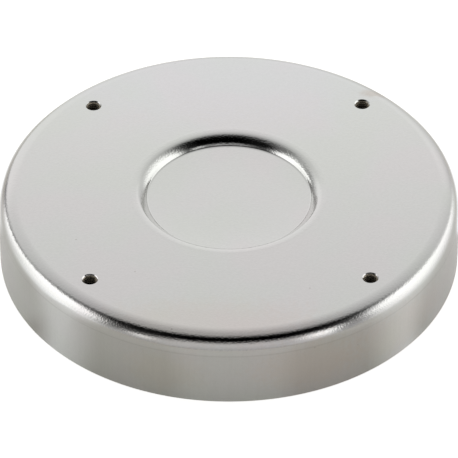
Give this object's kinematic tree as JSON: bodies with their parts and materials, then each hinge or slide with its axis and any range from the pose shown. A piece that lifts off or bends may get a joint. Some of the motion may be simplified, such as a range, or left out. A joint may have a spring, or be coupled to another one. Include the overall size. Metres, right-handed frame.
{
  "type": "magnetic mount",
  "caption": "Round magnetic mount: a shallow drawn steel cup with a pressed centre recess and tapped screw holes on top, and a ferrite ring magnet glued inside.",
  "frame": {"origin": "centre of the rim plane, which is the plane that meets the steel surface the mount holds to", "axes": "+Z along the cup's axis towards the screw face; +X and +Y run along the sides of the square of screw holes"},
  "size_m": [0.126, 0.126, 0.0215],
  "materials": {
    "nickel_plated_steel": "satin bright nickel plate on pressed sheet, with a fine grain",
    "ferrite": "ground dark grey hard ferrite",
    "epoxy": "cured amber epoxy with a smooth bead"
  },
  "bodies": {
    "root": {"cup": "nickel_plated_steel", "ring_magnet": "ferrite", "adhesive": "epoxy"}
  },
  "joints": []
}
